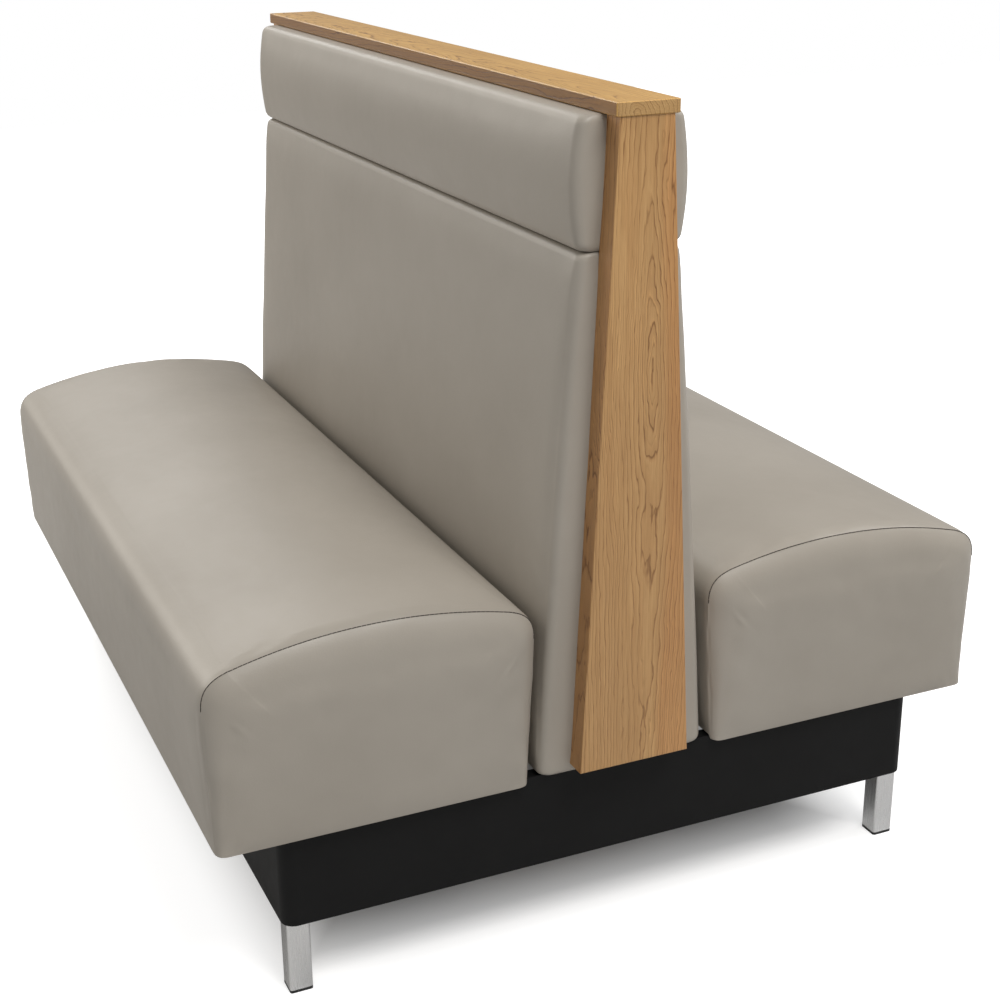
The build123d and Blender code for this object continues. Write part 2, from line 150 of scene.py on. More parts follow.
vinylLook = {
    "base": (0.385, 0.350, 0.302),
    "shade": (0.350, 0.316, 0.270),
    "cloudScale": 3.2,
    "rubScale": 40.0,
    "roughness": (0.38, 0.50),
    "specular": 0.46,
    "creaseScale": 26.0,
    "creaseDepth": 0.004,
    "grainScale": 520.0,
    "grainDepth": 0.0004,
}


def makeVinyl():
    material, tree, shader = startMaterial("taupeVinyl")
    place = objectPlace(tree)
    cloud = noiseNode(tree, place, vinylLook["cloudScale"], detail=4.0)
    colour = rampNode(tree, cloud, ((0.35, vinylLook["shade"]), (0.62, vinylLook["base"])))
    tree.links.new(colour, shader.inputs["Base Color"])
    setRoughness(tree, shader, noiseNode(tree, place, vinylLook["rubScale"]), *vinylLook["roughness"])
    shader.inputs["Specular IOR Level"].default_value = vinylLook["specular"]
    crease = noiseNode(tree, place, vinylLook["creaseScale"], detail=2.0)
    below = addBump(tree, shader, crease, 0.10, vinylLook["creaseDepth"])
    grain = addNode(tree, "ShaderNodeTexVoronoi", feature="SMOOTH_F1")
    setInputs(grain, Scale=vinylLook["grainScale"], Smoothness=0.6)
    tree.links.new(place, grain.inputs["Vector"])
    addBump(tree, shader, grain.outputs["Distance"], 0.16, vinylLook["grainDepth"], below)
    return material


threadLook = {"dark": (0.028, 0.023, 0.018), "light": (0.060, 0.050, 0.040), "twistScale": 900.0}


def makeThread():
    material, tree, shader = startMaterial("seamThread")
    twist = noiseNode(tree, objectPlace(tree), threadLook["twistScale"])
    colour = rampNode(tree, twist, ((0.3, threadLook["dark"]), (0.7, threadLook["light"])))
    tree.links.new(colour, shader.inputs["Base Color"])
    shader.inputs["Roughness"].default_value = 0.7
    return material


oakLook = {
    "light": (0.625, 0.385, 0.182),
    "mid": (0.545, 0.318, 0.142),
    "line": (0.290, 0.140, 0.050),
    "warm": (1.03, 0.92, 0.84),
    "endTone": (0.84, 0.88, 1.25),
    "poreTone": (0.56, 0.47, 0.36),
    "roughness": (0.34, 0.52),
    "coat": 0.12,
    "ringPitch": 0.0052,
    "finePitch": 0.0026,
}
# Each layer of the grain: how fine it is along and across the board, and its detail.
oakLayers = {
    "wander": (2.0, 9.0, 2.0),
    "ripple": (10.0, 44.0, 3.0),
    "shiver": (34.0, 150.0, 2.0),
    "plain": (5.0, 60.0, 3.0),
    "patch": (2.6, 17.0, 2.0),
    "finePatch": (4.0, 24.0, 2.0),
    "fibre": (14.0, 620.0, 4.0),
    "pore": (26.0, 900.0, 1.0),
    "broad": (3.2, 14.0, 2.0),
}


# Plain-sawn board: growth rings round a tilted axis that lies behind the face.
def makeOak(name, along, across, depth, heart):
    material, tree, shader = startMaterial(name)
    place = objectPlace(tree)
    parts = addNode(tree, "ShaderNodeSeparateXYZ")
    tree.links.new(place, parts.inputs[0])
    length, width, thick = (parts.outputs["XYZ".index(axis)] for axis in (along, across, depth))

    def layer(title, roughness=0.55):
        low, high, detail = oakLayers[title]
        size = (low, high, high) if along == "X" else (high, high, low)
        return noiseNode(tree, stretched(tree, place, size), 1.0, detail, roughness)

    def centred(title):
        return mathNode(tree, "SUBTRACT", layer(title), 0.5)

    wander = centred("wander")
    sway = mathNode(tree, "MULTIPLY", wander, heart["sway"])
    offWidth = mathNode(tree, "ADD", mathNode(tree, "SUBTRACT", width, heart["across"]), sway)
    tilt = mathNode(tree, "MULTIPLY", mathNode(tree, "SUBTRACT", length, heart["along"]), heart["tilt"])
    behind = mathNode(tree, "SUBTRACT", heart["depth"], mathNode(tree, "ABSOLUTE", thick))
    offDepth = mathNode(tree, "ADD", mathNode(tree, "ADD", behind, tilt), sway)
    squares = mathNode(
        tree, "ADD", mathNode(tree, "MULTIPLY", offWidth, offWidth),
        mathNode(tree, "MULTIPLY", offDepth, offDepth),
    )
    radius = mathNode(tree, "SQRT", squares)
    for title in ("ripple", "shiver"):
        shift = mathNode(tree, "MULTIPLY", centred(title), heart[title])
        radius = mathNode(tree, "ADD", radius, shift)
    rings = mathNode(tree, "FRACT", mathNode(tree, "DIVIDE", radius, oakLook["ringPitch"]))
    fine = mathNode(tree, "FRACT", mathNode(tree, "DIVIDE", radius, oakLook["finePitch"]))

    # The ring lines are strong in some patches of the board and nearly gone in others.
    light, mid, line = oakLook["light"], oakLook["mid"], oakLook["line"]
    plain = rampNode(tree, centred("plain"), ((0.0, mid), (0.12, light)))
    # Each ring line is dark, with a painted highlight of its relief a little after it.
    lined = rampNode(tree, rings, ((0.0, mid), (0.06, line), (0.17, mid), (0.28, light), (1.0, mid)))
    strong = rampNode(tree, layer("patch"), ((0.36, grey(0.22)), (0.58, grey(1.0))))
    colour = mixColours(tree, strong, plain, lined)
    # The fine lines are dark as well, each with a painted highlight of its relief beside it.
    fineLinesAndHighlight = rampNode(tree, fine, (
        (0.0, grey(1.0)), (0.15, (0.66, 0.60, 0.52)), (0.32, grey(1.20)), (0.6, grey(1.0)),
    ))
    finePatch = rampNode(tree, layer("finePatch"), ((0.46, grey(0.08)), (0.61, grey(1.0))))
    colour = toned(tree, colour, fineLinesAndHighlight, finePatch)

    fibres = layer("fibre", 0.65)
    fibreTone = rampNode(tree, fibres, ((0.30, (0.86, 0.83, 0.78)), (0.62, (1.05, 1.04, 1.03))))
    colour = toned(tree, colour, fibreTone)
    pores = layer("pore")
    poreTone = rampNode(tree, pores, ((0.29, oakLook["poreTone"]), (0.38, grey(1.0))))
    inRing = rampNode(tree, rings, ((0.05, grey(1.0)), (0.45, grey(0.15))))
    colour = toned(tree, colour, poreTone, inRing)

    # Broad light and dark zones, and a warmer band near one edge.
    broadTone = rampNode(tree, layer("broad"), ((0.3, (0.91, 0.89, 0.86)), (0.7, (1.05, 1.04, 1.01))))
    colour = toned(tree, colour, broadTone)
    band = mathNode(tree, "ADD", width, mathNode(tree, "MULTIPLY", wander, 0.06))
    offBand = mathNode(tree, "SUBTRACT", band, heart["band"])
    inBand = rampNode(tree, offBand, ((0.0, grey(0.0)), (0.014, grey(0.85))))
    colour = toned(tree, colour, oakLook["warm"], inBand)

    # Painted shade darkens the narrow long faces, and the end grain has a tone of its own.
    facing = addNode(tree, "ShaderNodeNewGeometry")
    turned = addNode(tree, "ShaderNodeSeparateXYZ")
    tree.links.new(facing.outputs["Normal"], turned.inputs[0])
    for axis, tone in (("Y", heart["paintedEdgeShade"]), (along, oakLook["endTone"])):
        turn = mathNode(tree, "ABSOLUTE", turned.outputs["XYZ".index(axis)])
        colour = toned(tree, colour, tone, rampNode(tree, turn, ((0.72, grey(0.0)), (0.9, grey(1.0)))))
    tree.links.new(toned(tree, colour, heart["tint"]), shader.inputs["Base Color"])

    setRoughness(tree, shader, fibres, *oakLook["roughness"])
    shader.inputs["Coat Weight"].default_value = oakLook["coat"]
    shader.inputs["Coat Roughness"].default_value = 0.25
    relief = rampNode(tree, rings, (
        (0.0, grey(0.5)), (0.07, grey(0.0)), (0.20, grey(0.8)), (1.0, grey(0.5)),
    ))
    below = None
    for height, strength, distance in (
        (relief, 0.22, 0.0006), (fineLinesAndHighlight, 0.12, 0.0004), (pores, 0.12, 0.0005), (fibres, 0.10, 0.0003),
    ):
        below = addBump(tree, shader, height, strength, distance, below)
    return material


def makePlainWood(name, light, dark, along):
    material, tree, shader = startMaterial(name)
    place = objectPlace(tree)
    grid = {"X": (5.0, 90.0, 90.0), "Z": (90.0, 90.0, 5.0)}[along]
    grain = noiseNode(tree, stretched(tree, place, grid), 1.0, 5.0, 0.6)
    colour = rampNode(tree, grain, ((0.35, dark), (0.65, light)))
    tree.links.new(colour, shader.inputs["Base Color"])
    setRoughness(tree, shader, grain, 0.6, 0.8)
    addBump(tree, shader, grain, 0.15, 0.0006)
    return material


boardLook = {
    "dark": (0.0046, 0.0046, 0.0047),
    "light": (0.0066, 0.0066, 0.0067),
    "roughness": (0.46, 0.58),
    "specular": 0.18,
    "peelScale": 260.0,
}


def makeBlackBoard():
    material, tree, shader = startMaterial("blackBoard")
    place = objectPlace(tree)
    cloud = noiseNode(tree, place, 7.0)
    colour = rampNode(tree, cloud, ((0.3, boardLook["dark"]), (0.7, boardLook["light"])))
    tree.links.new(colour, shader.inputs["Base Color"])
    setRoughness(tree, shader, noiseNode(tree, place, 30.0), *boardLook["roughness"])
    shader.inputs["Specular IOR Level"].default_value = boardLook["specular"]
    peel = noiseNode(tree, place, boardLook["peelScale"], detail=2.0)
    addBump(tree, shader, peel, 0.08, 0.0004)
    return material


def makeSteel(name, tone, low, high, brushed):
    material, tree, shader = startMaterial(name)
    place = objectPlace(tree)
    grid = (900.0, 900.0, 12.0) if brushed else (60.0, 60.0, 60.0)
    marks = noiseNode(tree, stretched(tree, place, grid), 1.0, 3.0)
    colour = rampNode(tree, marks, ((0.3, tuple(0.94 * c for c in tone)), (0.7, tone)))
    tree.links.new(colour, shader.inputs["Base Color"])
    shader.inputs["Metallic"].default_value = 1.0
    setRoughness(tree, shader, marks, low, high)
    addBump(tree, shader, marks, 0.05, 0.0002)
    return material


def makeBlackPlastic():
    material, tree, shader = startMaterial("blackPlastic")
    place = objectPlace(tree)
    speck = noiseNode(tree, place, 700.0)
    colour = rampNode(tree, speck, ((0.3, grey(0.012)), (0.7, grey(0.020))))
    tree.links.new(colour, shader.inputs["Base Color"])
    setRoughness(tree, shader, speck, 0.5, 0.65)
    addBump(tree, shader, speck, 0.1, 0.0002)
    return material


foamLook = {"dark": (0.62, 0.54, 0.36), "light": (0.80, 0.73, 0.54), "cellScale": 380.0}


def makeFoam():
    material, tree, shader = startMaterial("creamFoam")
    cells = addNode(tree, "ShaderNodeTexVoronoi")
    setInputs(cells, Scale=foamLook["cellScale"])
    tree.links.new(objectPlace(tree), cells.inputs["Vector"])
    depth = cells.outputs["Distance"]
    colour = rampNode(tree, depth, ((0.1, foamLook["dark"]), (0.6, foamLook["light"])))
    tree.links.new(colour, shader.inputs["Base Color"])
    shader.inputs["Roughness"].default_value = 0.95
    addBump(tree, shader, depth, 0.4, 0.001)
    return material


def makeFelt(name, light, dark, scale):
    material, tree, shader = startMaterial(name)
    place = objectPlace(tree)
    fibres = noiseNode(tree, place, scale, 5.0, 0.7)
    colour = rampNode(tree, fibres, ((0.35, dark), (0.65, light)))
    tree.links.new(colour, shader.inputs["Base Color"])
    shader.inputs["Roughness"].default_value = 0.95
    addBump(tree, shader, fibres, 0.4, 0.0008)
    return material


# Where the heart of the log lies behind an oak piece, how its rings stray, and the piece's tones, the
# last of them the painted shade on its narrow long faces.
panelHeart = {
    "across": 0.010, "along": -0.04, "depth": 0.604, "tilt": 0.050, "sway": 0.040,
    "ripple": 0.0130, "shiver": 0.0026, "band": 0.022, "tint": (0.87, 0.85, 0.77),
    # The last entry is the painted shade on the narrow long faces.
    "paintedEdgeShade": (0.92, 0.82, 0.74),
}
capHeart = {
    "across": -0.016, "along": 0.20, "depth": 1.028, "tilt": 0.060, "sway": 0.034,
    "ripple": 0.0120, "shiver": 0.0024, "band": 0.060, "tint": (0.98, 0.97, 0.62),
    # The last entry is the painted shade on the narrow long faces.
    "paintedEdgeShade": (0.52, 0.42, 0.34),
}

vinyl = makeVinyl()
thread = makeThread()
panelOak = makeOak("oakPanel", "Z", "Y", "X", panelHeart)
capOak = makeOak("oakCap", "X", "Y", "Z", capHeart)
timber = makePlainWood("frameTimber", (0.66, 0.50, 0.31), (0.52, 0.37, 0.21), "X")
plywood = makePlainWood("backPlywood", (0.62, 0.48, 0.30), (0.50, 0.36, 0.20), "Z")
blackBoard = makeBlackBoard()
legSteel = makeSteel("legSteel", grey(0.80), 0.22, 0.34, True)
zincSteel = makeSteel("zincSteel", (0.66, 0.67, 0.68), 0.32, 0.46, False)
blackPlastic = makeBlackPlastic()
foam = makeFoam()
felt = makeFelt("greyFelt", (0.40, 0.38, 0.36), (0.26, 0.25, 0.23), 240.0)
dustCloth = makeFelt("dustCloth", grey(0.020), grey(0.010), 600.0)

slotMaterials = {
    "vinyl": vinyl,
    "foam": foam,
    "felt": felt,
    "dust_cloth": dustCloth,
    "oak": panelOak,
    "plywood": plywood,
    "frame_timber": timber,
    "black_board": blackBoard,
    "leg_steel": legSteel,
    "zinc_steel": zincSteel,
    "black_plastic": blackPlastic,
}
for entry in frame["record"]["subparts"]:
    node = frameNodes[entry["node"]]
    finish = capOak if entry["node"] == "top_cap" else slotMaterials[entry["material_slot"]]
    for slot in node.material_slots:
        slot.material = finish
print("materials made")


# Mesh helpers

def meshObject(name, points, faces, materials, smooth=True):
    mesh = bpy.data.meshes.new(name)
    mesh.from_pydata(points, [], faces)
    mesh.update()
    for material in materials:
        mesh.materials.append(material)
    mesh.polygons.foreach_set("use_smooth", [smooth] * len(mesh.polygons))
    piece = bpy.data.objects.new(name, mesh)
    bpy.context.collection.objects.link(piece)
    return piece


# The faces between each loop of points and the next.
def joinLoops(loops):
    faces = []
    size = len(loops[0])
    for first, second in zip(loops, loops[1:]):
        for index in range(size):
            after = (index + 1) % size
            faces.append((first[index], first[after], second[after], second[index]))
    return faces


def outwards(piece):
    shape = bmesh.new()
    shape.from_mesh(piece.data)
    bmesh.ops.recalc_face_normals(shape, faces=shape.faces)
    shape.to_mesh(piece.data)
    shape.free()


def applyModifiers(piece):
    graph = bpy.context.evaluated_depsgraph_get()
    mesh = bpy.data.meshes.new_from_object(piece.evaluated_get(graph))
    piece.modifiers.clear()
    piece.data = mesh


def refine(piece):
    finer = piece.modifiers.new("finer", "SUBSURF")
    finer.levels = 1
    finer.render_levels = 1
    applyModifiers(piece)


# Closed outline of straight or arched sides. Each corner is rounded by averaging the outline
# over a stretch as long as its rounding. One list of points for each side.
def softOutline(corners, rounds, step):
    points = []
    starts = []
    for index, (start, arch) in enumerate(corners):
        starts.append(len(points))
        end = corners[(index + 1) % len(corners)][0]
        span = math.dist(start, end)
        count = max(2, round(span / step))
        across = ((end[1] - start[1]) / span, (start[0] - end[0]) / span)
        for number in range(count):
            share = number / count
            bow = arch * 4 * share * (1 - share)
            points.append((
                start[0] + share * (end[0] - start[0]) + bow * across[0],
                start[1] + share * (end[1] - start[1]) + bow * across[1],
            ))
    places = [corner for corner, arch in corners]
    total = len(points)
    soft = []
    for index, point in enumerate(points):
        nearest = min(range(len(places)), key=lambda k: math.dist(point, places[k]))
        reach = round(rounds[nearest] / step)
        if math.dist(point, places[nearest]) > rounds[nearest] or reach < 1:
            soft.append(point)
            continue
        window = [points[(index + shift) % total] for shift in range(-reach, reach + 1)]
        soft.append(tuple(sum(p[k] for p in window) / len(window) for k in (0, 1)))
    starts.append(total)
    soft.append(soft[0])
    return [soft[first:last + 1] for first, last in zip(starts, starts[1:])]


# A fixed count of points along a side, closer together where it turns; its end is left out.
def spreadPoints(points, count, turnWeight):
    weights = [0.0]
    for index in range(1, len(points)):
        before = points[max(index - 2, 0)]
        here, after = points[index - 1], points[index]
        turn = 0.0
        if before != here:
            first = math.atan2(here[1] - before[1], here[0] - before[0])
            second = math.atan2(after[1] - here[1], after[0] - here[0])
            turn = abs((second - first + math.pi) % (2 * math.pi) - math.pi)
        weights.append(weights[-1] + math.dist(here, after) + turn * turnWeight)
    result = []
    cursor = 0
    for number in range(count):
        target = number * weights[-1] / count
        while weights[cursor + 1] < target:
            cursor += 1
        share = (target - weights[cursor]) / (weights[cursor + 1] - weights[cursor])
        here, after = points[cursor], points[cursor + 1]
        result.append(tuple(here[k] + share * (after[k] - here[k]) for k in (0, 1)))
    return result


stuffing = {
    "pressure": 4.0, "frames": 20, "tension": 18.0, "bending": 2.5, "mass": 0.35, "quality": 5,
}


# The cover is blown up from inside as cloth, held where it is fixed or sewn. Each point keeps
# within reach of its place, and none of them sinks by more than sink.
def stuffCover(piece, held, reach, sink):
    group = piece.vertex_groups.new(name="held")
    group.add(held, 1.0, "REPLACE")
    cloth = piece.modifiers.new("stuffing", "CLOTH")
    settings = cloth.settings
    settings.quality = stuffing["quality"]
    settings.mass = stuffing["mass"]
    settings.tension_stiffness = stuffing["tension"]
    settings.compression_stiffness = stuffing["tension"]
    settings.bending_stiffness = stuffing["bending"]
    settings.use_pressure = True
    settings.uniform_pressure_force = stuffing["pressure"]
    settings.vertex_group_mass = "held"
    settings.effector_weights.gravity = 0
    cloth.point_cache.frame_start = 1
    cloth.point_cache.frame_end = stuffing["frames"]
    for number in range(1, stuffing["frames"] + 1):
        bpy.context.scene.frame_set(number)
    graph = bpy.context.evaluated_depsgraph_get()
    blown = piece.evaluated_get(graph).data
    normals = [point.normal.copy() for point in piece.data.vertices]
    shifts = [end.co - start.co for start, end in zip(piece.data.vertices, blown.vertices)]
    piece.modifiers.clear()
    piece.vertex_groups.clear()
    bpy.context.scene.frame_set(1)
    largest = 0.0
    for point, normal, shift in zip(piece.data.vertices, normals, shifts):
        size = shift.length
        if size < 1e-6:
            continue
        largest = max(largest, size)
        shift = shift * (reach * math.tanh(size / reach) / size)
        inward = -shift.dot(normal)
        if inward > sink:
            shift += normal * (inward - sink)
        point.co += shift
    print(piece.name, "stuffed, largest swelling", round(largest * 1000, 1), "mm")


# Small folds: the cover rises and falls along a seam, and the folds die out away from it.
def addPuckers(piece, nearness, depth, grain):
    normals = [point.normal.copy() for point in piece.data.vertices]
    for point, normal in zip(piece.data.vertices, normals):
        near = nearness(point.co)
        if near > 0.001:
            wave = noise.noise(Vector((
                point.co.x * grain[0], point.co.y * grain[1], point.co.z * grain[2],
            )))
            point.co += normal * depth * near * wave


# The same cover on the other side of the booth.
def mirroredCover(piece, name):
    mesh = piece.data.copy()
    mesh.transform(Matrix.Scale(-1, 4, (0, 1, 0)))
    mesh.flip_normals()
    twin = bpy.data.objects.new(name, mesh)
    bpy.context.collection.objects.link(twin)
    return twin


def declareCover(piece, nodes):
    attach(piece, "booth")
    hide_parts(*nodes)


# Benches

benchForm = {
    "frontReach": 0.541,
    "frontLean": 0.006,
    "rearReach": 0.118,
    "rearLean": 0.014,
    "footLevel": 0.2323,
    "frontTop": 0.4525,
    "rearTop": 0.4605,
    "crownRise": 0.0335,
    "sideBow": 0.0014,
    "topRounding": 0.036,
    "footRounding": 0.005,
    "seamPlace": 0.6036,
    "seamDepth": 0.0036,
    "footShare": 0.35,  # of the seam's depth, left at the foot
    "footFade": 4,  # full again from a quarter of the height up
    "endSwell": 0.0170,
    "endRise": 0.080,
    "endFoot": 0.50,  # of the end's swell, left at the foot
    "endFootFar": 0.25,  # of the way towards the middle, left at the foot
    "cornerNear": 0.8,  # how much less is drawn in at the rounded corners
    "cornerFar": 0.5,
    "footLip": 0.0053,
    "lipDepth": 0.030,
    "swelling": 0.0028,
    "sinking": 0.0004,
    "heldHeight": 0.016,
}
# The opening underneath, and the front and the end where the cover starts to hang lower.
benchFoot = {
    "openRear": 0.1558,
    "openFront": 0.5067,
    "openEnd": 0.5855,
    "openDepth": 0.0030,
    "hangFront": 0.508,
    "hangFrontRun": 0.018,
    "hangEnd": 0.5995,
    "hangEndRun": 0.0035,
}
# How finely the cover is divided. The rows beside an edge stand near it, at both distances.
benchRows = {
    "outlineStep": 0.001,
    "turnWeight": 0.05,
    "sideCount": 26,
    "topCount": 36,
    "bendCount": 5,
    "bendShare": 1.2,
    "besideEdge": (0.0003, 0.0014),
    "stationSpacing": 0.0125,
    "openingMargin": 0.009,
    "endCount": 12,
    "endSpread": 1.7,
    "endCurve": 5,
    "seamStep": 0.0006,
}
# Where the cover runs down to the end seam: place along the bench, and how far it is drawn in.
seamRun = [
    (0.5915, 0.0), (0.5955, 0.0003), (0.5982, 0.0008), (0.6004, 0.0014),
    (0.6019, 0.0020), (0.6029, 0.0025), (0.6034, 0.0030),
]
benchFolds = {
    "reach": 0.055, "topGap": 0.01, "topRun": 0.06, "topShare": 0.35, "footGap": 0.003,
    "seamGap": 0.0012, "height": 0.0016, "grain": (16.0, 30.0, 24.0),
}


def clipped(share):
    return min(1.0, max(0.0, share))


def benchSection():
    form, rows = benchForm, benchRows
    foot = form["footLevel"]
    corners = [
        ((form["frontReach"] - form["frontLean"], foot), form["sideBow"]),
        ((form["frontReach"], form["frontTop"]), form["crownRise"]),
        ((form["rearReach"], form["rearTop"]), form["sideBow"]),
        ((form["rearReach"] + form["rearLean"], foot), 0.0),
    ]
    rounds = [form["footRounding"], form["topRounding"], form["topRounding"], form["footRounding"]]
    front, top, rear, bottom = softOutline(corners, rounds, rows["outlineStep"])
    ring = []
    for side, count in ((front, rows["sideCount"]), (top, rows["topCount"]), (rear, rows["sideCount"])):
        ring += spreadPoints(side, count, rows["turnWeight"])
    # Underneath there are as many points as on top, close together at the edges of the opening.
    size = len(bottom) - 1
    bends = rows["bendCount"]
    bend = round(form["footRounding"] / rows["outlineStep"]) * rows["bendShare"]
    openRear, openFront = benchFoot["openRear"], benchFoot["openFront"]
    near, far = rows["besideEdge"]
    span = openFront - openRear - 2 * near
    inside = rows["topCount"] - 2 * bends - 2 * len(rows["besideEdge"]) - 1
    ring += [bottom[round(bend * k / bends)] for k in range(bends)]
    ring += [(openRear - far, foot), (openRear - near, foot)]
    ring += [(openRear + near + span * k / inside, foot) for k in range(inside + 1)]
    ring += [(openFront + near, foot), (openFront + far, foot)]
    ring += [bottom[size - round(bend * (bends - k) / bends)] for k in range(bends)]
    return ring


def outlineNormals(ring):
    normals = []
    for index in range(len(ring)):
        before, after = ring[index - 1], ring[(index + 1) % len(ring)]
        size = math.dist(before, after)
        normals.append(((after[1] - before[1]) / size, (before[0] - after[0]) / size))
    return normals


# A point of the outline, drawn in: first square to the cover, down to the seam, and past it
# towards the middle of the end panel, less so near the foot.
def drawnIn(place, normal, inset):
    form = benchForm
    middle = ((form["frontReach"] + form["rearReach"]) / 2, (form["footLevel"] + form["rearTop"]) / 2)
    halfSpan = ((form["frontReach"] - form["rearReach"]) / 2, (form["rearTop"] - form["footLevel"]) / 2)
    height = clipped((place[1] - form["footLevel"]) / (form["frontTop"] - form["footLevel"]))
    depthShare = form["footShare"] + (1 - form["footShare"]) * min(1.0, form["footFade"] * height)
    near = min(inset, form["seamDepth"]) * depthShare
    far = max(0.0, inset - form["seamDepth"])
    # Less at the rounded corners, where both ways add up.
    corner = abs(normal[0] * normal[1])
    near *= 1 - form["cornerNear"] * corner
    far *= 1 - form["cornerFar"] * corner
    reach = place[0] - normal[0] * near
    level = place[1] - normal[1] * near
    farShare = form["endFootFar"] + (1 - form["endFootFar"]) * height
    reach = middle[0] + (reach - middle[0]) * (1 - far * farShare / halfSpan[0])
    if level > middle[1]:
        level = middle[1] + (level - middle[1]) * (1 - far / halfSpan[1])
    return reach, level


# Places along one half of the bench, each with how far the outline is drawn in there.
def benchStations():
    form, rows = benchForm, benchRows
    near, far = rows["besideEdge"]
    opening = benchFoot["openEnd"]
    straight = opening - rows["openingMargin"]
    count = round(straight / rows["stationSpacing"])
    stations = [(straight * number / count, 0.0) for number in range(count + 1)]
    stations += [(opening + gap, 0.0) for gap in (-far, -near, near, far)]
    stations += seamRun + [(form["seamPlace"], form["seamDepth"])]
    step = rows["seamStep"]
    for number in range(1, rows["endCount"] + 1):
        share = (number / rows["endCount"]) ** rows["endSpread"]
        stations.append((
            form["seamPlace"] + step + (form["endSwell"] - step) * (1 - (1 - share) ** rows["endCurve"]),
            form["seamDepth"] + form["endRise"] * share,
        ))
    return stations


# The cover's points in loops round it, and the numbers of the points that are held.
def benchLoops(ring, stations):
    form, foot = benchForm, benchFoot
    normals = outlineNormals(ring)
    underStart = len(ring) - benchRows["topCount"]
    points = []
    held = []
    loops = []
    for along, inset in stations:
        loop = []
        for index, place in enumerate(ring):
            reach, level = drawnIn(place, normals[index], inset)
            under = index >= underStart
            inSpan = foot["openRear"] < place[0] < foot["openFront"]
            if under and inSpan and abs(along) < foot["openEnd"]:
                level += foot["openDepth"]
            sewn = inset in (seamRun[-1][1], form["seamDepth"])
            if under or sewn or level < form["footLevel"] + form["heldHeight"]:
                held.append(len(points))
            # The end panel swells less near the foot.
            height = min(1.0, (level - form["footLevel"]) / (form["frontTop"] - form["footLevel"]))
            swell = max(0.0, abs(along) - form["seamPlace"]) * (1 - form["endFoot"])
            swell *= (1 - height) ** 1.5
            # In front and at the ends the cover hangs a little lower than its underside.
            atFront = (reach - foot["hangFront"]) / foot["hangFrontRun"]
            atEnd = (abs(along) - foot["hangEnd"]) / foot["hangEndRun"]
            hang = clipped(max(atFront, atEnd))
            hang *= 1 - min(1.0, (level - form["footLevel"]) / form["lipDepth"])
            loop.append(len(points))
            points.append((
                math.copysign(abs(along) - swell, along), -reach, level - hang * form["footLip"],
            ))
        loops.append(loop)
    return points, held, loops


# An end panel is filled with rows that run between the four sides of the outline.
def fillEnd(points, faces, loop):
    sideCount, topCount = benchRows["sideCount"], benchRows["topCount"]
    size = len(loop)
    grid = [[None] * (sideCount + 1) for number in range(topCount + 1)]
    for j in range(sideCount + 1):
        grid[0][j] = loop[j]
        grid[topCount][j] = loop[2 * sideCount + topCount - j]
    for i in range(topCount + 1):
        grid[i][sideCount] = loop[sideCount + i]
        grid[i][0] = loop[(size - i) % size]
    for i in range(1, topCount):
        for j in range(1, sideCount):
            u, v = i / topCount, j / sideCount
            mixed = []
            for k in range(3):
                sides = (
                    (1 - u) * points[grid[0][j]][k] + u * points[grid[topCount][j]][k]
                    + (1 - v) * points[grid[i][0]][k] + v * points[grid[i][sideCount]][k]
                )
                corners = (
                    (1 - u) * (1 - v) * points[grid[0][0]][k]
                    + u * (1 - v) * points[grid[topCount][0]][k]
                    + (1 - u) * v * points[grid[0][sideCount]][k]
                    + u * v * points[grid[topCount][sideCount]][k]
                )
                mixed.append(sides - corners)
            grid[i][j] = len(points)
            points.append(tuple(mixed))
    for i in range(topCount):
        for j in range(sideCount):
            faces.append((grid[i][j], grid[i + 1][j], grid[i + 1][j + 1], grid[i][j + 1]))


def makeBench(name):
    half = benchStations()
    stations = [(-along, inset) for along, inset in reversed(half[1:])] + half
    points, held, loops = benchLoops(benchSection(), stations)
    faces = joinLoops(loops)
    for loop in (loops[0], loops[-1]):
        fillEnd(points, faces, loop)
    bench = meshObject(name, points, faces, [vinyl])
    outwards(bench)
    stuffCover(bench, held, benchForm["swelling"], benchForm["sinking"])

    folds = benchFolds

    def nearSeam(place):
        gap = abs(benchForm["seamPlace"] - abs(place.x))
        if gap <= folds["seamGap"] or place.z <= benchForm["footLevel"] + folds["footGap"]:
            return 0.0
        side = clipped((benchForm["frontTop"] + folds["topGap"] - place.z) / folds["topRun"])
        return max(0.0, 1 - gap / folds["reach"]) * (folds["topShare"] + (1 - folds["topShare"]) * side)

    addPuckers(bench, nearSeam, folds["height"], folds["grain"])
    refine(bench)
    return bench


frontBench = makeBench("frontBenchCover")
rearBench = mirroredCover(frontBench, "rearBenchCover")
for name, bench in (("front", frontBench), ("rear", rearBench)):
    declareCover(bench, [f"{name}_seat_cover", f"{name}_seat_foam"])
print("benches upholstered")


# Back pads and head rolls: each wraps the front of the back and a little of its two ends.

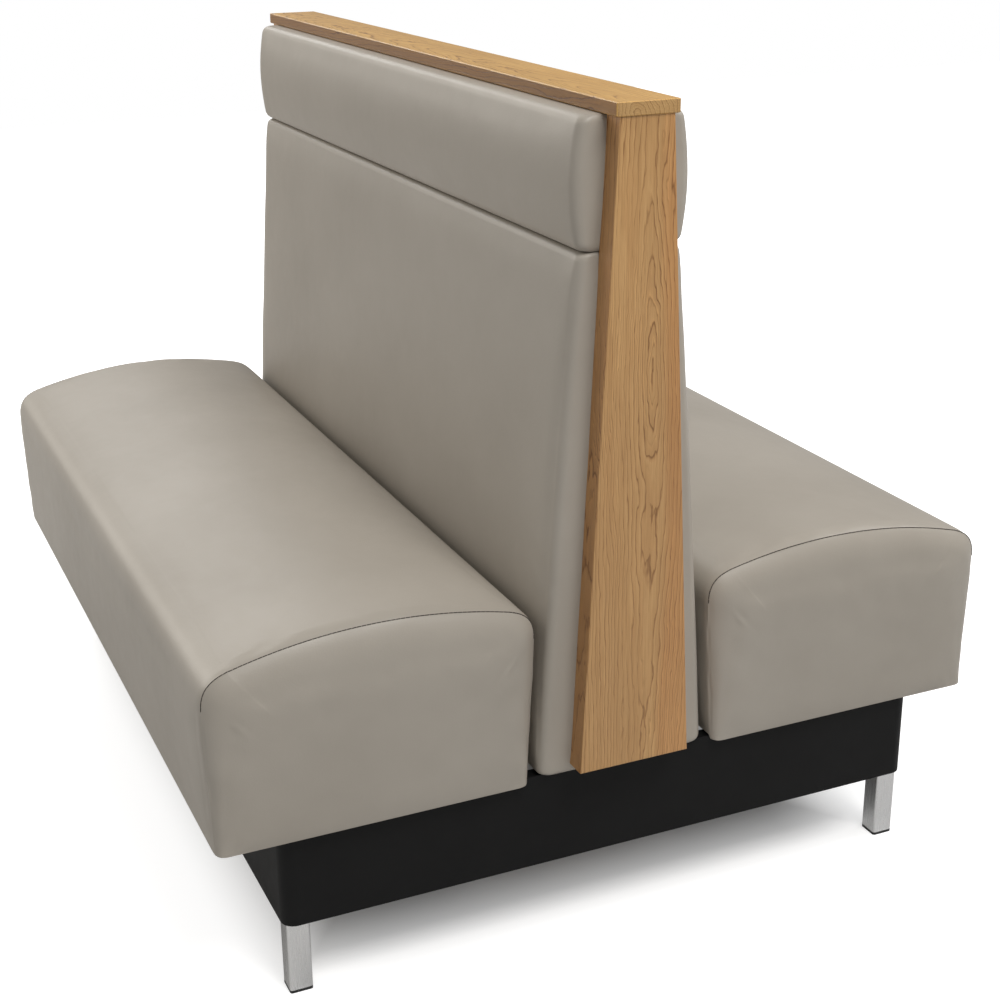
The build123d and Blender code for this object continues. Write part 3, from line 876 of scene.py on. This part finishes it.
wrapForm = {
    "innerGap": 0.0262, "innerHalf": 0.6022, "halfLength": 0.6095, "flapReach": 0.012,
    "heldReach": 0.012, "heldRows": 5, "sinking": 0.0006, "endDrop": 0.5,
    "rimCount": 7, "flapCount": 4, "arcCount": 8, "faceCount": 84,
}
backForm = {
    "foot": 0.2323, "top": 0.8955, "footReach": 0.1185, "topReach": 0.068, "bulge": 0.003,
    "cornerRounding": 0.014, "edgeRounding": 0.010, "levels": 44, "swelling": 0.0028,
}
rollForm = {
    "foot": 0.8962, "top": 1.0504, "footReach": 0.0680, "topReach": 0.0668, "bulge": 0.0082,
    "cornerRounding": 0.013, "edgeRounding": 0.0105, "levels": 14, "swelling": 0.0030,
}
wrapFolds = {
    "endReach": 0.07, "endShare": 0.55, "edgeReach": 0.05, "edgeShare": 0.45, "edgeGap": 0.006,
    "flapGap": 0.008, "flapRun": 0.02, "height": 0.0016, "grain": (18.0, 26.0, 13.0),
}


# How far the plain face of the back stands from the middle plane, at a level.
def slopeReach(level):
    share = (level - backForm["foot"]) / (backForm["top"] - backForm["foot"])
    return backForm["footReach"] + share * (backForm["topReach"] - backForm["footReach"])


# Reach, half length and inner reach of a pad's level section.
def wrapSection(form, level):
    share = clipped((level - form["foot"]) / (form["top"] - form["foot"]))
    reach = form["footReach"] + share * (form["topReach"] - form["footReach"])
    reach += form["bulge"] * 4 * share * (1 - share)
    edge = min(level - form["foot"], form["top"] - level)
    radius = form["edgeRounding"]
    drop = 0.0
    if edge < radius:
        drop = radius - math.sqrt(max(radius ** 2 - (radius - edge) ** 2, 0.0))
    inner = slopeReach(level) - wrapForm["innerGap"]
    return reach - drop, wrapForm["halfLength"] - wrapForm["endDrop"] * drop, inner


# The section is a U: an outer line and an inner line with as many points.
def wrapOutline(form, level):
    reach, half, inner = wrapSection(form, level)
    radius = form["cornerRounding"]
    flap, innerHalf = wrapForm["flapReach"], wrapForm["innerHalf"]
    flapCount, arcCount, faceCount = (wrapForm[k] for k in ("flapCount", "arcCount", "faceCount"))
    outer = []
    for number in range(flapCount):
        outer.append((half, flap + number / flapCount * (reach - radius - flap)))
    for number in range(arcCount + 1):
        angle = math.pi / 2 * number / arcCount
        outer.append((
            half - radius * (1 - math.cos(angle)), reach - radius * (1 - math.sin(angle)),
        ))
    for number in range(1, faceCount // 2 + 1):
        outer.append(((half - radius) * (1 - 2 * number / faceCount), reach))
    sideSteps = flapCount + arcCount // 2
    faceSteps = len(outer) - 1 - sideSteps
    inside = [(innerHalf, flap + number / sideSteps * (inner - flap)) for number in range(sideSteps)]
    inside += [(innerHalf * (1 - number / faceSteps), inner) for number in range(faceSteps + 1)]
    outer = [(-along, out) for along, out in outer[:-1]] + outer[::-1]
    inside = [(-along, out) for along, out in inside[:-1]] + inside[::-1]
    return outer, inside


def makeWrap(name, form):
    rim = form["edgeRounding"]
    span = form["top"] - form["foot"]
    rimCount, heldRows = wrapForm["rimCount"], wrapForm["heldRows"]
    curve = [rim * (1 - math.cos(math.pi / 2 * number / rimCount)) for number in range(rimCount)]
    levels = [form["foot"] + rise for rise in curve]
    levels += [
        form["foot"] + rim + (span - 2 * rim) * number / form["levels"]
        for number in range(form["levels"] + 1)
    ]
    levels += [form["top"] - rise for rise in reversed(curve)]
    points = []
    held = []
    loops = []
    for row, level in enumerate(levels):
        outer, inside = wrapOutline(form, level)
        fixed = row < heldRows or row >= len(levels) - heldRows
        for place, (along, out) in enumerate(outer):
            if fixed or out < wrapForm["flapReach"] + wrapForm["heldReach"]:
                held.append(len(points) + place)
        held += range(len(points) + len(outer), len(points) + 2 * len(outer))
        loops.append(range(len(points), len(points) + 2 * len(outer)))
        points += [(along, -out, level) for along, out in outer + inside[::-1]]
    faces = joinLoops(loops)
    size = len(loops[0])
    for loop in (loops[0], loops[-1]):
        for index in range(size // 2 - 1):
            faces.append((
                loop[index], loop[index + 1], loop[size - 2 - index], loop[size - 1 - index],
            ))
    pad = meshObject(name, points, faces, [vinyl])
    outwards(pad)
    stuffCover(pad, held, form["swelling"], wrapForm["sinking"])

    def nearEdges(place):
        end = max(0.0, 1 - (wrapForm["halfLength"] - abs(place.x)) / wrapFolds["endReach"])
        edge = min(place.z - form["foot"], form["top"] - place.z)
        off = min(1.0, edge / wrapFolds["edgeGap"])
        seam = max(0.0, 1 - edge / wrapFolds["edgeReach"]) * off
        out = -place.y - wrapForm["flapReach"] - wrapFolds["flapGap"]
        out = clipped(out / wrapFolds["flapRun"])
        return max(wrapFolds["endShare"] * end * off, wrapFolds["edgeShare"] * seam) * out

    addPuckers(pad, nearEdges, wrapFolds["height"], wrapFolds["grain"])
    refine(pad)
    return pad


for title, part, form in (("BackPad", "back", backForm), ("HeadRoll", "headroll", rollForm)):
    frontPad = makeWrap(f"front{title}", form)
    rearPad = mirroredCover(frontPad, f"rear{title}")
    declareCover(frontPad, [f"front_{part}_cover", f"front_{part}_foam"])
    declareCover(rearPad, [f"rear_{part}_cover", f"rear_{part}_foam"])
print("back pads and head rolls upholstered")


# Seams: Geometry Nodes lay short threads along every path of edges that they are given.

def threadTree(name, material):
    tree = bpy.data.node_groups.new(name, "GeometryNodeTree")
    sides = tree.interface
    sides.new_socket("Geometry", in_out="INPUT", socket_type="NodeSocketGeometry")
    for title, value in (("Thread Length", 0.005), ("Thread Pitch", 0.006), ("Thread Radius", 0.0004)):
        socket = sides.new_socket(title, in_out="INPUT", socket_type="NodeSocketFloat")
        socket.default_value = value
    sides.new_socket("Geometry", in_out="OUTPUT", socket_type="NodeSocketGeometry")
    start = addNode(tree, "NodeGroupInput")
    curve = addNode(tree, "GeometryNodeMeshToCurve")
    spots = addNode(tree, "GeometryNodeCurveToPoints", mode="LENGTH")
    stitch = addNode(tree, "GeometryNodeMeshCylinder")
    stitch.inputs["Vertices"].default_value = 6
    turn = addNode(tree, "FunctionNodeAlignRotationToVector", axis="Z")
    lay = addNode(tree, "GeometryNodeInstanceOnPoints")
    real = addNode(tree, "GeometryNodeRealizeInstances")
    paint = addNode(tree, "GeometryNodeSetMaterial")
    paint.inputs["Material"].default_value = material
    end = addNode(tree, "NodeGroupOutput")
    for source, target in (
        (start.outputs["Geometry"], curve.inputs["Mesh"]),
        (curve.outputs["Curve"], spots.inputs["Curve"]),
        (start.outputs["Thread Pitch"], spots.inputs["Length"]),
        (start.outputs["Thread Radius"], stitch.inputs["Radius"]),
        (start.outputs["Thread Length"], stitch.inputs["Depth"]),
        (spots.outputs["Tangent"], turn.inputs["Vector"]),
        (spots.outputs["Points"], lay.inputs["Points"]),
        (stitch.outputs["Mesh"], lay.inputs["Instance"]),
        (turn.outputs["Rotation"], lay.inputs["Rotation"]),
        (lay.outputs["Instances"], real.inputs["Geometry"]),
        (real.outputs["Geometry"], paint.inputs["Geometry"]),
        (paint.outputs["Geometry"], end.inputs["Geometry"]),
    ):
        tree.links.new(source, target)
    return tree


def layThreads(name, paths, tree, sizes):
    points = []
    edges = []
    for path in paths:
        start = len(points)
        points += path
        edges += [(start + k, start + k + 1) for k in range(len(path) - 1)]
    mesh = bpy.data.meshes.new(name)
    mesh.from_pydata(points, edges, [])
    piece = bpy.data.objects.new(name, mesh)
    bpy.context.collection.objects.link(piece)
    laid = piece.modifiers.new("threads", "NODES")
    laid.node_group = tree
    for item in tree.interface.items_tree:
        if item.in_out == "INPUT" and item.name in sizes:
            laid[item.identifier] = sizes[item.name]
    applyModifiers(piece)
    return piece


seamLook = {"Thread Length": 0.0054, "Thread Pitch": 0.0060, "Thread Radius": 0.00062}
threadLift = 0.0002  # the stitches stand out of the seam by this much
seamFeet = {"front": 0.418, "rear": 0.428}  # the stitches show from these levels up


def benchSeams():
    ring = benchSection()
    middle = (benchForm["frontReach"] + benchForm["rearReach"]) / 2
    path = []
    for place, normal in zip(ring[:-benchRows["topCount"]], outlineNormals(ring)):
        if place[1] > seamFeet["front" if place[0] > middle else "rear"]:
            path.append(drawnIn(place, normal, benchForm["seamDepth"] - threadLift))
    return [
        [(end * benchForm["seamPlace"], way * reach, level) for reach, level in path]
        for end in (-1, 1) for way in (-1, 1)
    ]


stitches = layThreads("benchStitches", benchSeams(), threadTree("seamThreads", thread), seamLook)
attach(stitches, "booth")
print("seams sewn")


# Stage, light and camera

# The floor glows for the camera; under the base the glow is lowered to a painted shadow.
stageLook = {
    "size": 14.0, "white": 0.60, "base": (0.599, 0.455), "glow": 0.78, "paintedShadowGlow": 0.05,
    "paintedShadowRun": (0.70, 1.10), "farGlow": 0.40, "farRun": (2.0, 6.0),
}


def makeStage():
    reach = stageLook["size"] / 2
    floor = meshObject(
        "studioFloor",
        [(-reach, -reach, 0), (reach, -reach, 0), (reach, reach, 0), (-reach, reach, 0)],
        [(0, 1, 2, 3)], [], smooth=False,
    )
    material, tree, shader = startMaterial("studioWhite")
    shader.inputs["Base Color"].default_value = (*grey(stageLook["white"]), 1)
    shader.inputs["Roughness"].default_value = 0.9
    shader.inputs["Specular IOR Level"].default_value = 0.0
    path = addNode(tree, "ShaderNodeLightPath")
    glow = addNode(tree, "ShaderNodeEmission")
    # The floor under the base glows less, which paints a shadow under it, and further out it meets the
    # white background. Both runs are counted in sizes of the base.
    parts = addNode(tree, "ShaderNodeSeparateXYZ")
    tree.links.new(objectPlace(tree), parts.inputs[0])
    share = mathNode(tree, "MAXIMUM", *(
        mathNode(tree, "DIVIDE", mathNode(tree, "ABSOLUTE", parts.outputs[k]), stageLook["base"][k])
        for k in range(2)
    ))
    glowing = 0.0
    for run, low, high in (
        (stageLook["paintedShadowRun"], stageLook["paintedShadowGlow"], stageLook["glow"]),
        (stageLook["farRun"], 0.0, stageLook["farGlow"]),
    ):
        zone = addNode(tree, "ShaderNodeMapRange", interpolation_type="SMOOTHSTEP")
        setInputs(zone, From_Min=run[0], From_Max=run[1], To_Min=low, To_Max=high)
        tree.links.new(share, zone.inputs["Value"])
        glowing = mathNode(tree, "ADD", zone.outputs["Result"], glowing)
    tree.links.new(glowing, glow.inputs["Strength"])
    mix = addNode(tree, "ShaderNodeAddShader")
    pick = addNode(tree, "ShaderNodeMixShader")
    output = tree.nodes["Material Output"]
    tree.links.new(shader.outputs[0], mix.inputs[0])
    tree.links.new(glow.outputs[0], mix.inputs[1])
    tree.links.new(path.outputs["Is Camera Ray"], pick.inputs[0])
    tree.links.new(shader.outputs[0], pick.inputs[1])
    tree.links.new(mix.outputs[0], pick.inputs[2])
    tree.links.new(pick.outputs[0], output.inputs["Surface"])
    floor.data.materials.append(material)


worldLight = {"strength": 0.33, "seen": 1.0}


def makeWorld():
    world = bpy.data.worlds.new("studio")
    world.use_nodes = True
    tree = world.node_tree
    background = tree.nodes["Background"]
    background.inputs["Color"].default_value = (1, 1, 1, 1)
    background.inputs["Strength"].default_value = worldLight["strength"]
    seen = addNode(tree, "ShaderNodeBackground")
    seen.inputs["Color"].default_value = (1, 1, 1, 1)
    seen.inputs["Strength"].default_value = worldLight["seen"]
    path = addNode(tree, "ShaderNodeLightPath")
    both = mathNode(tree, "MAXIMUM", path.outputs["Is Camera Ray"], path.outputs["Is Transmission Ray"])
    pick = addNode(tree, "ShaderNodeMixShader")
    tree.links.new(both, pick.inputs[0])
    tree.links.new(background.outputs[0], pick.inputs[1])
    tree.links.new(seen.outputs[0], pick.inputs[2])
    tree.links.new(pick.outputs[0], tree.nodes["World Output"].inputs["Surface"])
    bpy.context.scene.world = world


lamps = {
    "frontLamp": {
        "place": (-3.6, -3.0, 2.4), "aim": (-0.3, 0, 0.6), "size": 2.4,
        "power": 90, "colour": (1, 0.95, 0.87),
    },
    "endLamp": {
        "place": (2.6, 0.3, 4.0), "aim": (0.4, 0, 0.4), "size": 1.6,
        "power": 108, "colour": (1, 0.985, 0.96),
    },
    "leftLamp": {
        "place": (-4.0, -0.4, 3.0), "aim": (-0.3, 0, 0.5), "size": 2.0,
        "power": 40, "colour": (1, 0.98, 0.95),
    },
    "rearLamp": {
        "place": (0.5, 3.6, 3.6), "aim": (0, 0, 0.4), "size": 2.0,
        "power": 74, "colour": (1, 1, 1),
    },
}


def makeLamp(name, settings):
    data = bpy.data.lights.new(name, "AREA")
    data.shape = "SQUARE"
    data.size = settings["size"]
    data.energy = settings["power"]
    data.color = settings["colour"]
    lamp = bpy.data.objects.new(name, data)
    bpy.context.collection.objects.link(lamp)
    lamp.location = settings["place"]
    aim = Vector(settings["aim"]) - Vector(settings["place"])
    lamp.rotation_euler = aim.to_track_quat("-Z", "Y").to_euler()


cameraFit = {
    "place": (2.3103, -0.9218, 1.3183),
    "azimuth": 66.112,
    "elevation": 20.686,
    "roll": -0.559,
    "focalPixels": 1706.55,
    "imagePixels": 1000,
    "sensor": 36.0,
    "farthest": 60,
}


def makeCamera():
    fit = cameraFit
    azimuth, elevation, roll = (math.radians(fit[k]) for k in ("azimuth", "elevation", "roll"))
    back = Vector((
        math.sin(azimuth) * math.cos(elevation),
        -math.cos(azimuth) * math.cos(elevation),
        math.sin(elevation),
    ))
    levelRight = Vector((math.cos(azimuth), math.sin(azimuth), 0))
    levelUp = back.cross(levelRight)
    right = math.cos(roll) * levelRight + math.sin(roll) * levelUp
    up = -math.sin(roll) * levelRight + math.cos(roll) * levelUp
    data = bpy.data.cameras.new("photoCamera")
    data.sensor_width = fit["sensor"]
    data.lens = fit["focalPixels"] * fit["sensor"] / fit["imagePixels"]
    data.clip_end = fit["farthest"]
    camera = bpy.data.objects.new("photoCamera", data)
    bpy.context.collection.objects.link(camera)
    turn = Matrix((right, up, back)).transposed().to_4x4()
    camera.matrix_world = Matrix.Translation(fit["place"]) @ turn
    bpy.context.scene.camera = camera


makeStage()
makeWorld()
for name, settings in lamps.items():
    makeLamp(name, settings)
makeCamera()
bpy.context.scene.view_settings.view_transform = "Standard"
print("stage, lamps and camera set")
